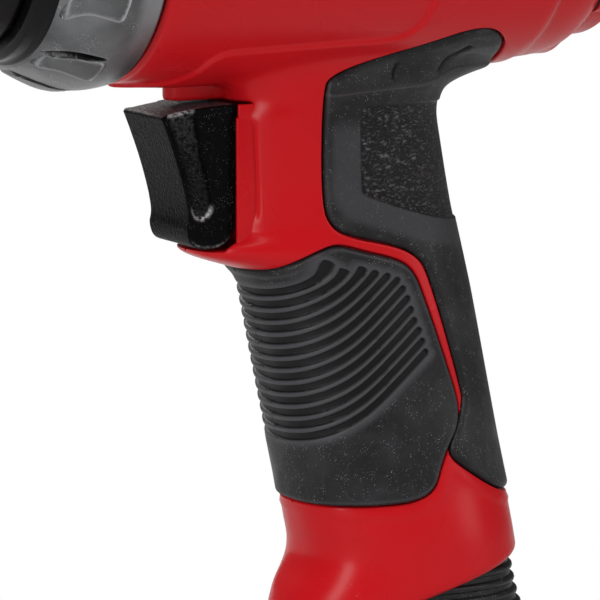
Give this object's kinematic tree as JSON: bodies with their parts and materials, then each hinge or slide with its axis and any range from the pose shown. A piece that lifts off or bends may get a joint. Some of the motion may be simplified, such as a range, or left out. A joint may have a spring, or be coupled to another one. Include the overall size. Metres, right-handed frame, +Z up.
{
  "type": "pneumatic impact wrench",
  "caption": "Pistol-grip air impact wrench: ribbed and padded handle, pull trigger, dark hammer case, square drive, air inlet in the base.",
  "frame": {"origin": "on the drive axis, at the shoulder of the square drive", "axes": "-X out of the nose along the drive axis, +Z up from the handle to the barrel, Y = 0 is the mirror plane"},
  "size_m": [0.1916, 0.0782, 0.214],
  "materials": {
    "red_plastic": "glossy moulded glass-filled nylon",
    "soft_grip": "soft overmoulded rubber with a fine stipple",
    "trigger_plastic": "finely pebbled",
    "case_metal": "dark cast housing, semi-gloss",
    "nose_rubber": "smooth glossy moulding",
    "seal_rubber": "smooth",
    "drive_steel": "ground and lightly oiled",
    "forged_steel": "dark heat-treated",
    "bearing_steel": "polished",
    "motor_steel": "ground",
    "bronze": "plain turned",
    "screw_steel": "black oxide",
    "spring_steel": "bright wire",
    "vane_resin": "laminated resin",
    "black_plastic": "satin",
    "inlet_steel": "zinc plated",
    "felt": "felt"
  },
  "bodies": {
    "tool": {"housing": "red_plastic", "front_grip": "soft_grip", "rear_grip": "soft_grip", "hammer_case": "case_metal", "case_bushing": "bronze", "nose_bumper": "nose_rubber", "nose_seal": "seal_rubber", "case_gasket": "seal_rubber", "motor_cylinder": "motor_steel", "front_end_plate": "motor_steel", "rear_end_plate": "motor_steel", "front_bearing": "bearing_steel", "rear_bearing": "bearing_steel", "cylinder_pin": "bearing_steel", "rear_gasket": "seal_rubber", "rear_cover": "red_plastic", "case_screws": "screw_steel", "reverse_sleeve": "bronze", "trigger_bush": "bronze", "trigger_spring": "spring_steel", "valve_seat": "bronze", "valve_seat_ring": "seal_rubber", "valve_spring": "spring_steel", "spring_seat": "bronze", "inlet_screen": "spring_steel", "inlet_bushing": "inlet_steel", "inlet_seal": "seal_rubber", "exhaust_deflector": "black_plastic", "deflector_screws": "screw_steel", "muffler_felts": "felt"},
    "motor": {"rotor": "motor_steel", "rotor_vanes": "vane_resin", "inner_races": "bearing_steel", "hammer_cage": "forged_steel", "hammer_pins": "bearing_steel"},
    "hammer_one": {"front_hammer": "forged_steel"},
    "hammer_two": {"rear_hammer": "forged_steel"},
    "drive": {"anvil": "drive_steel", "socket_ring": "spring_steel"},
    "selector": {"reverse_spool": "bearing_steel", "selector_knob": "black_plastic", "knob_screw": "inlet_steel"},
    "trigger_slide": {"trigger": "trigger_plastic", "trigger_rod": "bearing_steel", "trigger_pin": "bearing_steel"},
    "throttle": {"throttle_valve": "bearing_steel"}
  },
  "joints": [
    {"name": "trigger_pull", "type": "slide", "parent": "tool", "child": "trigger_slide", "axis": [1, 0, 0], "range_m": [0, 0.005], "stiffness_N_per_m": 900, "springref_m": -0.004, "deforming": ["trigger_spring"]},
    {"name": "throttle_tilt", "type": "hinge", "parent": "tool", "child": "throttle", "pos_m": [0.09926, 0, -0.08082], "axis": [0, 1, 0], "range_deg": [0, 10.5], "deforming": ["valve_spring"]},
    {"name": "motor_spin", "type": "hinge", "parent": "tool", "child": "motor", "pos_m": [0.0722, 0, 0], "axis": [1, 0, 0], "continuous": true},
    {"name": "drive_spin", "type": "hinge", "parent": "tool", "child": "drive", "pos_m": [0, 0, 0], "axis": [1, 0, 0], "continuous": true},
    {"name": "hammer_one_swing", "type": "hinge", "parent": "motor", "child": "hammer_one", "pos_m": [0.0389, 0, 0.0214], "axis": [1, 0, 0], "range_deg": [-4, 4]},
    {"name": "hammer_two_swing", "type": "hinge", "parent": "motor", "child": "hammer_two", "pos_m": [0.0493, 0, -0.0214], "axis": [1, 0, 0], "range_deg": [-4, 4]},
    {"name": "selector_turn", "type": "hinge", "parent": "tool", "child": "selector", "pos_m": [0.1696, 0, 0], "axis": [1, 0, 0], "range_deg": [-40, 40]}
  ],
  "couplings": [
    {"joint": "throttle_tilt", "follows": "trigger_pull", "rad_per_m": 36},
    {"joint": "drive_spin", "follows": "motor_spin", "ratio": 1}
  ]
}
